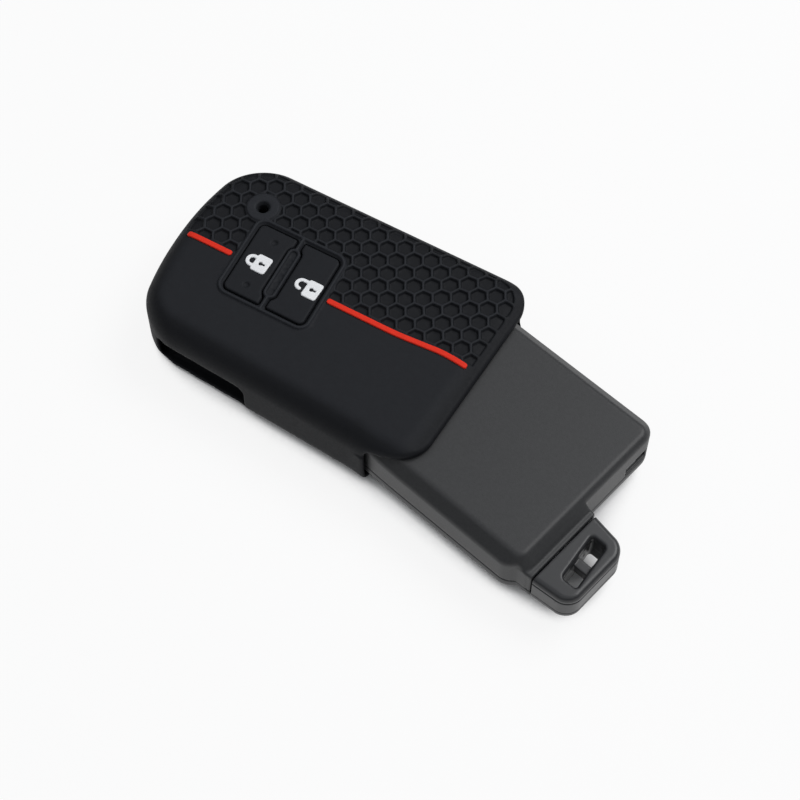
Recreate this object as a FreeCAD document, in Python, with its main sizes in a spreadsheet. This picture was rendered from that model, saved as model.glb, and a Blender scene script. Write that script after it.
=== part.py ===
import FreeCAD, Part
import Sketcher
import math
import os
import re

# A silicone cover half drawn off a two-button key fob.
# +X runs from the cover's closed head to its open mouth, +Y to the far side, +Z up through the front.
# The origin is the middle of the cover's flat back.
# The fob's own pieces are built from the fob's head, centre line and underside, then placed together.

SIZES = {
    # fob case
    "fob_length": 70.5,
    "fob_width": 43.6,
    "fob_thickness": 13.0,
    "fob_head_radius": 11.0,
    "fob_tail_radius": 4.0,
    "case_wall": 1.6,
    "case_ceiling": 1.5,
    "case_floor": 1.5,
    "case_bevel": 2.7,
    "case_belly_radius": 1.5,
    "parting_height": 4.0,
    "ledge_length": 2.6,
    "ledge_top": 10.2,
    "fit_gap": 0.15,
    "run_gap": 0.3,
    "seal_thickness": 0.8,
    "seal_height": 2.2,
    # fob keys and electronics
    "button_length": 7.0,
    "button_width": 11.0,
    "button_flange": 0.8,
    "button_flange_thickness": 0.5,
    "button_travel": 0.4,
    "membrane_thickness": 0.5,
    "membrane_margin": 1.2,
    "press_gap": 0.1,
    "switch_side": 4.5,
    "board_thickness": 1.0,
    "board_margin": 0.4,
    "board_end_gap": 4.5,
    "board_underside": 7.5,
    "chip_side": 7.0,
    "chip_height": 1.0,
    "chip_from_end": 15.0,
    "chip_offset": 8.0,
    "antenna_side": 11.0,
    "antenna_height": 2.6,
    "antenna_from_end": 9.0,
    "antenna_offset": -7.0,
    "led_length": 2.0,
    "led_height": 0.9,
    "pipe_radius": 1.2,
    # cell and its clips
    "cell_radius": 10.0,
    "cell_thickness": 3.2,
    "cell_from_head": 13.0,
    "clip_thickness": 0.25,
    "clip_width": 5.0,
    "clip_reach": 6.0,
    # emergency key
    "key_width": 19.6,
    "key_offset": 11.2,
    "key_length": 9.3,
    "key_bottom": 2.2,
    "key_top": 10.0,
    "key_taper": 1.5,
    "key_corner_radius": 3.4,
    "key_edge": 0.9,
    "seam_gap": 0.3,
    "slot_length": 10.0,
    "slot_width": 4.2,
    "slot_inset": 3.1,
    "slot_plate": 4.4,
    "rib_width": 2.1,
    "rib_drop": 1.8,
    "blade_cell_gap": 2.4,
    "blade_width": 7.0,
    "blade_thickness": 2.2,
    "blade_tip": 2.5,
    "bow_depth": 2.6,
    "pin_radius": 0.7,
    "pin_gap": 0.03,
    # latch
    "latch_thickness": 2.2,
    "latch_width": 2.6,
    "latch_travel": 2.5,
    "knob_width": 3.4,
    "knob_offset": 14.0,
    "knob_recess": 0.5,
    "spring_radius": 0.8,
    "wire_radius": 0.15,
    "spring_turns": 3.0,
    "spring_seat": 0.5,
    # cover
    "side_room": 1.1,
    "head_room": 0.5,
    "cover_wall": 1.7,
    "front_wall": 2.2,
    "back_wall": 2.2,
    "rim_overhang": 2.9,
    "mouth_setback": 13.4,
    "lip_flare": 3.7,
    "front_edge_radius": 5.5,
    "back_edge_radius": 5.0,
    "cavity_edge_radius": 1.6,
    "cavity_floor_radius": 1.8,
    "tongue_radius": 8.0,
    "far_tongue_radius": 11.0,
    "tongue_edge": 3.5,
    "back_tongue_width": 36.0,
    "far_setback": 3.0,
    "far_lip_radius": 3.0,
    "window_from_head": 7.5,
    "window_length": 23.2,
    "window_height": 8.6,
    # pads, icons and stripes
    "pads_from_head": 26.5,
    "frame_length": 22.7,
    "frame_width": 21.0,
    "frame_radius": 2.8,
    "frame_ridge": 0.9,
    "frame_proud": 0.55,
    "frame_groove": 0.5,
    "divider_width": 3.2,
    "loop_slot_width": 0.9,
    "loop_slot_length": 10.4,
    "pad_gap": 0.2,
    "pad_radius": 1.4,
    "pad_proud": 0.3,
    "pad_travel": 0.6,
    "pad_rest_gap": 0.4,
    "nub_inset": 0.5,
    "icon_proud": 0.3,
    "icon_width": 3.9,
    "icon_body_length": 3.4,
    "icon_shackle_length": 2.0,
    "icon_stroke": 0.8,
    "icon_offset": 0.6,
    "keyhole_radius": 0.45,
    "stripe_width": 1.3,
    "stripe_proud": 0.4,
    "stripe_drop": 0.4,
    "stripe_mouth_gap": 4.0,
    "stripe_offset": 1.0,
    # indicator boss and honeycomb
    "led_from_head": 13.85,
    "led_offset": 12.7,
    "boss_radius": 3.65,
    "boss_proud": 0.35,
    "boss_hole_radius": 1.1,
    "boss_dish_radius": 1.7,
    "boss_dish_depth": 0.9,
    "comb_pitch": 3.75,
    "comb_ridge": 0.75,
    "comb_depth": 0.35,
    "comb_margin": 2.0,
    "comb_phase_x": 7.95,
    "comb_phase_y": 0.15,
    # photographed pose
    "draw_out": 35.7,
    "skew": 13.0,
}

doc = FreeCAD.newDocument("KeyFobCover")
sheet = doc.addObject("Spreadsheet::Sheet", "Sizes")
for row, (alias, number) in enumerate(SIZES.items(), start=1):
    sheet.set(f"A{row}", alias)
    sheet.set(f"B{row}", str(number))
    sheet.setAlias(f"B{row}", alias)
doc.recompute()

WORD = re.compile(r"[a-z][a-z_]*")
Z = FreeCAD.Vector(0, 0, 1)


def bound(text):
    """The expression for a sum of sizes, with each size read from the sheet."""
    return WORD.sub(lambda word: "Sizes." + word.group(), text)


def value(text):
    """The number that such a sum gives now."""
    return float(sheet.evalExpression(bound(text)))


# Places along the cover, in the cover's frame.
COVER_LENGTH = "(cover_wall + head_room + fob_length + rim_overhang)"
HEAD = f"(-{COVER_LENGTH} / 2)"
RIM = f"({COVER_LENGTH} / 2)"
SIDE_RIM = f"({RIM} - mouth_setback)"
OVERRUN = f"({RIM} + 2 * tongue_radius)"
CAVITY_HEAD = f"({HEAD} + cover_wall)"
INNER_HALF = "(fob_width / 2 + side_room)"
OUTER_HALF = f"({INNER_HALF} + cover_wall)"
FOB_FLOOR = "(back_wall + run_gap)"
CAVITY_TOP = f"({FOB_FLOOR} + fob_thickness + run_gap)"
FRONT = f"({CAVITY_TOP} + front_wall)"
PADS = f"({HEAD} + pads_from_head)"
LED_X = f"({HEAD} + led_from_head)"

# Places in the fob, from its head, centre line and underside.
HALF = "(fob_width / 2)"
INSIDE = f"({HALF} - case_wall)"
CEILING = "(fob_thickness - case_ceiling)"
KEY_SIDE = "(-key_offset - key_width / 2)"
KEY_INNER = "(-key_offset + key_width / 2)"
SEAM = "(fob_length + ledge_length)"
KEY_FACE = f"({SEAM} + seam_gap)"
PIN_X = f"({KEY_FACE} + bow_depth / 2)"
BLADE_MIDDLE = "((key_bottom + key_top) / 2)"
BLADE_LOW = f"({BLADE_MIDDLE} - blade_thickness / 2)"
BLADE_HIGH = f"({BLADE_MIDDLE} + blade_thickness / 2)"
BOARD_TOP = "(board_underside + board_thickness)"
BUTTON_SEAT = f"({CEILING} - button_flange_thickness - press_gap)"
MEMBRANE_TOP = f"({BUTTON_SEAT} - button_travel - press_gap)"
MEMBRANE_LOW = f"({MEMBRANE_TOP} - membrane_thickness)"
PAD_STEP = "(frame_length / 4 - frame_ridge / 2 - frame_groove / 2 + divider_width / 4)"
HOME_SHIFT = "(pads_from_head - cover_wall - head_room)"
FOB_LED = "(led_from_head - cover_wall - head_room)"
CELL_LOW = "(case_floor + clip_thickness + press_gap)"
CELL_TOP = f"({CELL_LOW} + cell_thickness)"
LATCH_X = "(fob_length - case_wall - run_gap - latch_width)"
BOARD_END = f"({LATCH_X} - board_end_gap)"
CHIP_X = f"({BOARD_END} - chip_from_end)"
ANTENNA_X = f"({BOARD_END} - antenna_from_end)"
LATCH_LOW = f"({BLADE_MIDDLE} - latch_thickness / 2)"
LATCH_TIP = "(-key_offset + blade_width / 2 + run_gap)"
LATCH_END = "(knob_offset + knob_width / 2)"


class Piece:
    """One sub-part, built feature by feature in a body of its own."""

    def __init__(self, name):
        self.body = doc.addObject("PartDesign::Body", name)
        self.body.Label = name
        self.steps = 0

    def feature(self, kind):
        self.steps += 1
        return self.body.newObject(kind, f"{self.body.Name}_{self.steps}")

    def block(self, x, y, z, cut=False):
        """A box between low and high places along each axis."""
        box = self.feature("PartDesign::SubtractiveBox" if cut else "PartDesign::AdditiveBox")
        for size, axis, (low, high) in zip(("Length", "Width", "Height"), "xyz", (x, y, z)):
            box.setExpression(size, bound(f"({high}) - ({low})"))
            box.setExpression(f"Placement.Base.{axis}", bound(low))
        return self

    def drum(self, x, y, z, radius, cut=False):
        """An upright cylinder between two heights."""
        drum = self.feature("PartDesign::SubtractiveCylinder" if cut else "PartDesign::AdditiveCylinder")
        drum.setExpression("Radius", bound(radius))
        drum.setExpression("Height", bound(f"({z[1]}) - ({z[0]})"))
        for axis, place in zip("xyz", (x, y, z[0])):
            drum.setExpression(f"Placement.Base.{axis}", bound(place))
        return self

    def cone(self, x, y, z, radii):
        """An upright cone between two heights, with its lower and upper radius."""
        cone = self.feature("PartDesign::AdditiveCone")
        cone.setExpression("Radius1", bound(radii[0]))
        cone.setExpression("Radius2", bound(radii[1]))
        cone.setExpression("Height", bound(f"({z[1]}) - ({z[0]})"))
        for axis, place in zip("xyz", (x, y, z[0])):
            cone.setExpression(f"Placement.Base.{axis}", bound(place))
        return self

    def outline(self, corners, z):
        """A straight-sided plan outline between two heights."""
        sketch = self.feature("Sketcher::SketchObject")
        planes = self.body.Origin.OriginFeatures
        sketch.AttachmentSupport = ([plane for plane in planes if plane.Role == "XY_Plane"][0], [""])
        sketch.MapMode = "FlatFace"
        sketch.setExpression("AttachmentOffset.Base.z", bound(z[0]))
        points = [FreeCAD.Vector(value(x), value(y), 0) for x, y in corners]
        for start, end in zip(points, points[1:] + points[:1]):
            sketch.addGeometry(Part.LineSegment(start, end), False)
        for side in range(len(points)):
            following = (side + 1) % len(points)
            sketch.addConstraint(Sketcher.Constraint("Coincident", side, 2, following, 1))
        for side, corner in enumerate(corners):
            for kind, place in zip(("DistanceX", "DistanceY"), corner):
                constraint = Sketcher.Constraint(kind, -1, 1, side, 1, value(place))
                index = sketch.addConstraint(constraint)
                sketch.setExpression(f"Constraints[{index}]", bound(place))
        pad = self.feature("PartDesign::Pad")
        pad.Profile = sketch
        pad.setExpression("Length", bound(f"({z[1]}) - ({z[0]})"))
        return self

    def edged(self, radius, chosen, kind="PartDesign::Fillet"):
        """Rounds, or bevels, the edges that a test picks."""
        doc.recompute()
        base = self.body.Tip
        names = [f"Edge{n}" for n, edge in enumerate(base.Shape.Edges, start=1) if chosen(edge)]
        finish = self.feature(kind)
        finish.Base = (base, names)
        finish.setExpression("Size" if kind.endswith("Chamfer") else "Radius", bound(radius))
        return self


def middle(edge):
    return edge.valueAt((edge.FirstParameter + edge.LastParameter) / 2)


def upright(edge):
    ends = [vertex.Point for vertex in edge.Vertexes]
    return len(ends) == 2 and math.hypot(ends[0].x - ends[1].x, ends[0].y - ends[1].y) < 1e-6


def level(height):
    """A test for edges that lie wholly at a height."""
    place = value(height)

    def chosen(edge):
        return abs(edge.BoundBox.ZMin - place) < 1e-4 and abs(edge.BoundBox.ZMax - place) < 1e-4

    return chosen


def upright_where(test):
    """A test for upright edges whose place in plan passes another test."""
    return lambda edge: upright(edge) and test(middle(edge))


def boolean(kind, name, base, tool):
    joined = doc.addObject("Part::" + kind, name)
    joined.Base = base
    joined.Tool = tool
    joined.Label = name
    return joined


def place_fob(piece):
    """Sets a fob piece where the photo shows it: drawn out, and turned about the cell's axis."""
    skew = math.radians(value("skew"))
    reach = value("cell_from_head")
    axis_x = value(f"{CAVITY_HEAD} + head_room + cell_from_head + draw_out")
    base = FreeCAD.Vector(axis_x - reach * math.cos(skew), reach * math.sin(skew), value(FOB_FLOOR))
    drawn_out = FreeCAD.Placement(base, FreeCAD.Rotation(Z, -value("skew")))
    piece.Placement = drawn_out.multiply(piece.Placement)
    return piece


pieces = []


def finished(piece):
    pieces.append(piece)
    return piece


# Cover shell: a soft-edged sleeve that widens a little at the near side towards its mouth.


def sleeve_outline(inset):
    """The sleeve's plan, drawn in from its outside, past the mouth."""
    near_slope = f"(lip_flare / {COVER_LENGTH})"
    near_end = f"(-{OUTER_HALF} + {inset} - {near_slope} * ({OVERRUN} - {HEAD}))"
    return (
        (f"{HEAD} + {inset}", f"-{OUTER_HALF} + {inset}"),
        (OVERRUN, near_end),
        (OVERRUN, f"{OUTER_HALF} - {inset}"),
        (f"{HEAD} + {inset}", f"{OUTER_HALF} - {inset}"),
    )


def at_head(point):
    return point.x < value(HEAD) + value("fob_head_radius")


def make_sleeve():
    sleeve = Piece("sleeve_blank").outline(sleeve_outline("0"), ("0", FRONT))
    sleeve.edged("fob_head_radius + head_room + cover_wall", upright_where(at_head))
    sleeve.edged("front_edge_radius", level(FRONT))
    sleeve.edged("back_edge_radius", level("0"))
    return sleeve.body


def make_cavity():
    cavity = Piece("cavity").outline(sleeve_outline("cover_wall"), ("back_wall", CAVITY_TOP))
    cavity.edged("fob_head_radius + head_room", upright_where(at_head))
    cavity.edged("cavity_edge_radius", level(CAVITY_TOP))
    cavity.edged("cavity_floor_radius", level("back_wall"))
    return cavity.body


TONGUE_LOW = f"({FRONT} - tongue_edge)"


def mouth_outline(end):
    """A plan over the whole sleeve, up to an end at the mouth."""
    near, start = f"(-{OUTER_HALF} - lip_flare)", f"({HEAD} - cover_wall)"
    return ((start, near), (end, near), (end, OUTER_HALF), (start, OUTER_HALF))


def make_mouth():
    """What the sleeve is trimmed to: a front tongue with round corners, and behind it a shorter mouth."""
    tongue = Piece("tongue_trim").outline(mouth_outline(RIM), (TONGUE_LOW, f"{FRONT} + front_wall"))
    tongue.edged("tongue_radius", upright_where(lambda point: point.x > 0 > point.y))
    tongue.edged("far_tongue_radius", upright_where(lambda point: point.x > 0 and point.y > 0))
    lips = Piece("lip_trim").outline(mouth_outline(f"({RIM} - far_setback)"), ("-back_wall", TONGUE_LOW))
    lips.edged("far_lip_radius", upright_where(lambda point: point.x > 0 and point.y > 0))
    return boolean("Fuse", "mouth_trim", tongue.body, lips.body)


def make_side_cuts():
    """What is cut away: the near wall behind the tongue with the back's corner, and the near window."""
    cuts = Piece("side_cuts")
    beyond = f"({OUTER_HALF} + 2 * lip_flare)"
    under_tongue = ("-back_wall", TONGUE_LOW)
    cuts.block((SIDE_RIM, OVERRUN), (f"-{beyond}", "-back_tongue_width / 2"), under_tongue)
    cuts.block(
        (f"{HEAD} + window_from_head", f"{HEAD} + window_from_head + window_length"),
        (f"-{beyond}", f"-{INNER_HALF} + cover_wall"),
        ("back_wall", "back_wall + window_height"),
    )
    return cuts.body


def make_pad_frame():
    """The raised frame round the two pads, with the ridge between them."""
    frame = Piece("pad_frame")
    half_length, half_width = "(frame_length / 2)", "(frame_width / 2)"
    frame.block(
        (f"{PADS} - {half_length}", f"{PADS} + {half_length}"),
        (f"-{half_width}", half_width),
        (f"{FRONT} - front_wall / 2", f"{FRONT} + frame_proud"),
    )
    frame.edged("frame_radius", upright)
    inner_length, inner_width = f"({half_length} - frame_ridge)", f"({half_width} - frame_ridge)"
    frame.block(
        (f"{PADS} - {inner_length}", f"{PADS} + {inner_length}"),
        (f"-{inner_width}", inner_width),
        (FRONT, f"{FRONT} + frame_proud"),
        cut=True,
    )
    frame.block(
        (f"{PADS} - divider_width / 2 + frame_groove", f"{PADS} + divider_width / 2 - frame_groove"),
        (f"-{inner_width} + frame_groove", f"{inner_width} - frame_groove"),
        (f"{FRONT} - front_wall / 2", f"{FRONT} + frame_proud"),
    )
    frame.block(
        (f"{PADS} - loop_slot_width / 2", f"{PADS} + loop_slot_width / 2"),
        ("-loop_slot_length / 2", "loop_slot_length / 2"),
        (FRONT, f"{FRONT} + frame_proud"),
        cut=True,
    )
    return frame.body


def pad_places(side):
    """A pad's low and high places along the cover; side is -1 at the head and 1 at the mouth."""
    near = "(divider_width / 2)"
    far = "(frame_length / 2 - frame_ridge - frame_groove)"
    if side < 0:
        return f"{PADS} - {far}", f"{PADS} - {near}"
    return f"{PADS} + {near}", f"{PADS} + {far}"


PAD_HALF_WIDTH = "(frame_width / 2 - frame_ridge - frame_groove)"
PAD_LOW = f"({FOB_FLOOR} + fob_thickness + run_gap + pad_travel)"
NUB_LOW = f"({FOB_FLOOR} + fob_thickness + pad_rest_gap)"
PAD_TOP = f"({FRONT} + pad_proud)"


def make_pad_holes():
    holes = Piece("pad_holes")
    for side in (-1, 1):
        low, high = pad_places(side)
        holes.block(
            (f"{low} - pad_gap", f"{high} + pad_gap"),
            (f"-{PAD_HALF_WIDTH} - pad_gap", f"{PAD_HALF_WIDTH} + pad_gap"),
            (f"{CAVITY_TOP} - front_wall", f"{FRONT} + front_wall"),
        )
    holes.edged("pad_radius", upright)
    return holes.body


def make_boss():
    boss = Piece("indicator_boss")
    boss.drum(LED_X, "led_offset", (f"{FRONT} - front_wall / 2", f"{FRONT} + boss_proud"), "boss_radius")
    return boss.body


def make_boss_hole():
    hole = Piece("indicator_hole")
    top = f"({FRONT} + boss_proud)"
    hole.drum(LED_X, "led_offset", (f"{CAVITY_TOP} - front_wall", top), "boss_hole_radius")
    dish = (f"{top} - boss_dish_depth", top)
    hole.cone(LED_X, "led_offset", dish, ("boss_hole_radius", "boss_dish_radius"))
    return hole.body


def honeycomb_cells():
    """Hexagonal pits on the far half of the front, from the stripe to the far edge and the mouth."""
    pitch = value("comb_pitch")
    corner_radius = (pitch - value("comb_ridge")) / math.sqrt(3)
    column_step = pitch * math.sqrt(3) / 2
    floor = value(f"{FRONT} - comb_depth")
    height = value("front_wall")
    first_x, first_y = value("comb_phase_x"), value("comb_phase_y")
    low_x, high_x = value(HEAD), value(f"{RIM} - comb_margin") - corner_radius
    low_y, high_y = value("comb_pitch / 2"), value(OUTER_HALF)
    spoke = FreeCAD.Vector(corner_radius, 0, 0)
    cells = []

    def steps(low, high, step):
        return range(math.ceil(low / step), math.floor(high / step) + 1)

    for column in steps(low_x - first_x, high_x - first_x, column_step):
        row_shift = first_y + 0.5 * pitch * (column % 2)
        for row in steps(low_y - row_shift, high_y - row_shift, pitch):
            centre = FreeCAD.Vector(first_x + column * column_step, row_shift + row * pitch, floor)
            ring = [centre + FreeCAD.Rotation(Z, 60 * turn).multVec(spoke) for turn in range(7)]
            cells.append(Part.Face(Part.makePolygon(ring)).extrude(Z * height))
    comb = doc.addObject("Part::Feature", "honeycomb")
    comb.Shape = Part.makeCompound(cells)
    return comb


def make_cover_shell():
    shell = boolean("Common", "trimmed_sleeve", make_sleeve(), make_mouth())
    shell = boolean("Cut", "hollow_sleeve", shell, make_cavity())
    shell = boolean("Cut", "open_sleeve", shell, make_side_cuts())
    shell = boolean("Cut", "combed_sleeve", shell, honeycomb_cells())
    shell = boolean("Fuse", "framed_sleeve", shell, make_pad_frame())
    shell = boolean("Fuse", "bossed_sleeve", shell, make_boss())
    shell = boolean("Cut", "pad_sleeve", shell, make_pad_holes())
    return boolean("Cut", "cover_shell", shell, make_boss_hole())


# Pads, icons and stripes.


def make_pad(name, side):
    """A pad with a nub beneath it that meets the fob's key."""
    low, high = pad_places(side)
    pad = Piece(name).block((low, high), (f"-{PAD_HALF_WIDTH}", PAD_HALF_WIDTH), (PAD_LOW, PAD_TOP))
    pad.edged("pad_radius - pad_gap", upright)
    centre = f"(({low} + {high}) / 2)"
    half_length, half_width = "(button_length / 2 - nub_inset)", "(button_width / 2 - nub_inset)"
    pad.block(
        (f"{centre} - {half_length}", f"{centre} + {half_length}"),
        (f"-{half_width}", half_width),
        (NUB_LOW, PAD_LOW),
    )
    return pad.body


def icon_start(side):
    """Where an icon's shackle starts, with the icon a little past its pad's middle."""
    low, high = pad_places(side)
    return f"(({low} + {high}) / 2 + icon_offset - (icon_body_length + icon_shackle_length) / 2)"


def make_icon(name, side, open_shackle):
    """A padlock whose shackle points to the head; an open one has its near leg cut short."""
    icon = Piece(name)
    start = icon_start(side)
    neck = f"({start} + icon_shackle_length)"
    height = (PAD_TOP, f"{PAD_TOP} + icon_proud")
    half = "(icon_width / 2)"
    bow = "(icon_width / 2 - icon_stroke / 2)"
    icon.block((start, f"{neck} + icon_stroke"), (f"-{bow}", bow), height)
    icon.edged(f"{bow} - icon_stroke / 4", upright_where(lambda point: point.x < value(neck)))
    icon.block(
        (f"{start} + icon_stroke", f"{neck} + icon_stroke"),
        (f"-{bow} + icon_stroke", f"{bow} - icon_stroke"),
        height,
        cut=True,
    )
    if open_shackle:
        icon.block((f"{neck} - icon_stroke", neck), (f"-{bow}", f"-{bow} + icon_stroke"), height, cut=True)
    icon.block((neck, f"{neck} + icon_body_length"), (f"-{half}", half), height)
    icon.drum(f"{neck} + icon_body_length / 2", "0", height, "keyhole_radius", cut=True)
    return icon.body


STRIPE_SIDES = ("-stripe_offset - stripe_width / 2", "-stripe_offset + stripe_width / 2")


def make_stripe_head():
    """A raised band over the head's round edge, up to the pad frame."""
    stripe = Piece("stripe_band")
    end = f"{PADS} - frame_length / 2"
    stripe.block((f"{HEAD} - stripe_proud", end), STRIPE_SIDES, ("0", f"{FRONT} + stripe_proud"))
    top, face = value(f"{FRONT} + stripe_proud"), value(f"{HEAD} - stripe_proud")
    stripe.edged(
        "front_edge_radius + stripe_proud",
        lambda edge: abs(middle(edge).z - top) < 1e-4 and abs(middle(edge).x - face) < 1e-4,
    )
    stripe.block(
        (f"{HEAD} - 2 * stripe_proud", end),
        ("-stripe_offset - stripe_width", "-stripe_offset + stripe_width"),
        ("0", f"{FRONT} - stripe_drop"),
        cut=True,
    )
    return boolean("Cut", "red_stripe_head", stripe.body, doc.getObject("sleeve_blank"))


def make_stripe_mouth():
    stripe = Piece("red_stripe_mouth")
    stripe.block(
        (f"{PADS} + frame_length / 2", f"{RIM} - stripe_mouth_gap"),
        STRIPE_SIDES,
        (FRONT, f"{FRONT} + stripe_proud"),
    )
    return stripe.body


# Fob case.


def case_outline(inset, end="fob_length"):
    """The fob's plan, drawn in from its outside."""
    return (
        (inset, f"-{HALF} + {inset}"),
        (f"{end} - {inset}", f"-{HALF} + {inset}"),
        (f"{end} - {inset}", f"{HALF} - {inset}"),
        (inset, f"{HALF} - {inset}"),
    )


def round_case(piece, inset):
    """Rounds the upright corners of a case-shaped piece."""
    half_way = value("fob_length / 2")
    piece.edged(f"fob_head_radius - {inset}", upright_where(lambda point: point.x < half_way))
    piece.edged(f"fob_tail_radius - {inset}", upright_where(lambda point: point.x > half_way))
    return piece


def case_hollow(name, low, high):
    return round_case(Piece(name).outline(case_outline("case_wall"), (low, high)), "case_wall").body


def ledge(low, high):
    """The step in the fob's end that the key's head meets."""
    step = Piece("ledge").block(("fob_length - case_wall", SEAM), (KEY_SIDE, KEY_INNER), (low, high))
    return step.body


def make_front_case():
    shell = Piece("front_blank").outline(case_outline("0"), ("parting_height", "fob_thickness"))
    round_case(shell, "0")
    shell.edged("case_bevel", level("fob_thickness"), "PartDesign::Chamfer")
    case = boolean("Fuse", "front_with_ledge", shell.body, ledge("parting_height", "ledge_top"))
    room = case_hollow("front_room", "parting_height - case_floor", CEILING)
    case = boolean("Cut", "front_hollow", case, room)
    holes = Piece("front_holes")
    for side in (-1, 1):
        low, high = button_places(side)
        holes.block(
            (f"{low} - fit_gap", f"{high} + fit_gap"),
            ("-button_width / 2 - fit_gap", "button_width / 2 + fit_gap"),
            (f"{CEILING} - case_ceiling", "fob_thickness + case_ceiling"),
        )
    holes.drum(FOB_LED, "led_offset", (f"{CEILING} - case_ceiling", "fob_thickness + case_ceiling"),
               "pipe_radius + pin_gap")
    holes.block(
        ("fob_length - 2 * case_wall", f"{SEAM} + ledge_length"),
        ("-key_offset - blade_width / 2 - run_gap", "-key_offset + blade_width / 2 + run_gap"),
        (f"{BLADE_LOW} - run_gap", f"{BLADE_HIGH} + run_gap"),
    )
    holes.block(
        ("fob_length - 2 * case_wall", "fob_length + ledge_length"),
        ("knob_offset - knob_width / 2 - run_gap", "knob_offset + knob_width / 2 + latch_travel + run_gap"),
        (f"{LATCH_LOW} - run_gap", f"{LATCH_LOW} + latch_thickness + run_gap"),
    )
    return boolean("Cut", "front_case", case, holes.body)


def make_rear_case():
    shell = Piece("rear_blank").outline(case_outline("0"), ("0", "parting_height"))
    round_case(shell, "0")
    shell.edged("case_belly_radius", level("0"))
    case = boolean("Fuse", "rear_with_ledge", shell.body, ledge("key_bottom", "parting_height"))
    room = case_hollow("rear_room", "case_floor", "parting_height + case_floor")
    return boolean("Cut", "rear_case", case, room)


def make_case_seal():
    """A lip inside the walls that closes the parting line."""
    low = "(parting_height - seal_height / 2)"
    high = "(parting_height + seal_height / 4)"
    outer = Piece("seal_blank").outline(case_outline("(case_wall + pin_gap)"), (low, high))
    round_case(outer, "case_wall")
    inner_inset = "(case_wall + seal_thickness)"
    inner = Piece("seal_room").outline(case_outline(inner_inset), ("0", CEILING))
    round_case(inner, inner_inset)
    return boolean("Cut", "case_seal", outer.body, inner.body)


# Fob keys and electronics.


def button_places(side):
    """A key's low and high places along the fob, under its pad when the fob is home."""
    centre = f"({HOME_SHIFT} + {side} * {PAD_STEP})"
    return f"({centre} - button_length / 2)", f"({centre} + button_length / 2)"


def make_button(name, side):
    low, high = button_places(side)
    button = Piece(name)
    button.block((low, high), ("-button_width / 2", "button_width / 2"), (BUTTON_SEAT, "fob_thickness"))
    button.edged("fit_gap * 2", upright)
    button.block(
        (f"{low} - button_flange", f"{high} + button_flange"),
        ("-button_width / 2 - button_flange", "button_width / 2 + button_flange"),
        (BUTTON_SEAT, f"{BUTTON_SEAT} + button_flange_thickness"),
    )
    return button.body


def make_membrane():
    start, end = button_places(-1)[0], button_places(1)[1]
    reach = "(button_flange + membrane_margin)"
    sheet_piece = Piece("button_membrane")
    sheet_piece.block(
        (f"{start} - {reach}", f"{end} + {reach}"),
        (f"-button_width / 2 - {reach}", f"button_width / 2 + {reach}"),
        (MEMBRANE_LOW, MEMBRANE_TOP),
    )
    sheet_piece.edged("membrane_margin", upright)
    return sheet_piece.body


def make_board():
    inset = "(case_wall + board_margin)"
    board = Piece("circuit_board").outline(
        (
            (inset, f"-{HALF} + {inset}"),
            (BOARD_END, f"-{HALF} + {inset}"),
            (BOARD_END, f"{HALF} - {inset}"),
            (inset, f"{HALF} - {inset}"),
        ),
        ("board_underside", BOARD_TOP),
    )
    half_way = value("fob_length / 2")
    board.edged(f"fob_head_radius - {inset}", upright_where(lambda point: point.x < half_way))
    return board.body


def make_switches():
    """One switch under each key, as two separate solids on the board."""
    solids = []
    for number, side in enumerate((-1, 1), start=1):
        low, high = button_places(side)
        centre = f"(({low} + {high}) / 2)"
        half = "(switch_side / 2)"
        switch = Piece(f"switch_{number}")
        switch.block(
            (f"{centre} - {half}", f"{centre} + {half}"),
            (f"-{half}", half),
            (BOARD_TOP, MEMBRANE_LOW),
        )
        solids.append(switch.body)
    pair = doc.addObject("Part::Compound", "tact_switches")
    pair.Links = solids
    pair.Label = "tact_switches"
    return pair


def make_chip(name, centre_x, centre_y, side, height):
    half = f"({side} / 2)"
    chip = Piece(name)
    chip.block(
        (f"{centre_x} - {half}", f"{centre_x} + {half}"),
        (f"{centre_y} - {half}", f"{centre_y} + {half}"),
        (BOARD_TOP, f"{BOARD_TOP} + {height}"),
    )
    return chip.body


def make_light_pipe():
    pipe = Piece("light_pipe")
    foot = f"{BOARD_TOP} + led_height + press_gap"
    pipe.drum(FOB_LED, "led_offset", (foot, "fob_thickness"), "pipe_radius")
    return pipe.body


def make_cell():
    cell = Piece("coin_cell").drum("cell_from_head", "0", (CELL_LOW, CELL_TOP), "cell_radius")
    cell.edged("clip_thickness", level(CELL_TOP))
    return cell.body


def make_clip(name, side, low):
    """A flat spring on one face of the cell, with a leg up to the board past the cell's edge."""
    clip = Piece(name)
    edge = "(cell_from_head + cell_radius + run_gap)"
    centre = f"({side} * clip_width)"
    half = "(clip_width / 2)"
    across = (f"{centre} - {half}", f"{centre} + {half}")
    leg = f"{edge} + clip_thickness"
    clip.block((f"{edge} - clip_reach", leg), across, (low, f"{low} + clip_thickness"))
    clip.block((edge, leg), across, (low, "board_underside"))
    return clip.body


# Emergency key and its latch.


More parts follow.
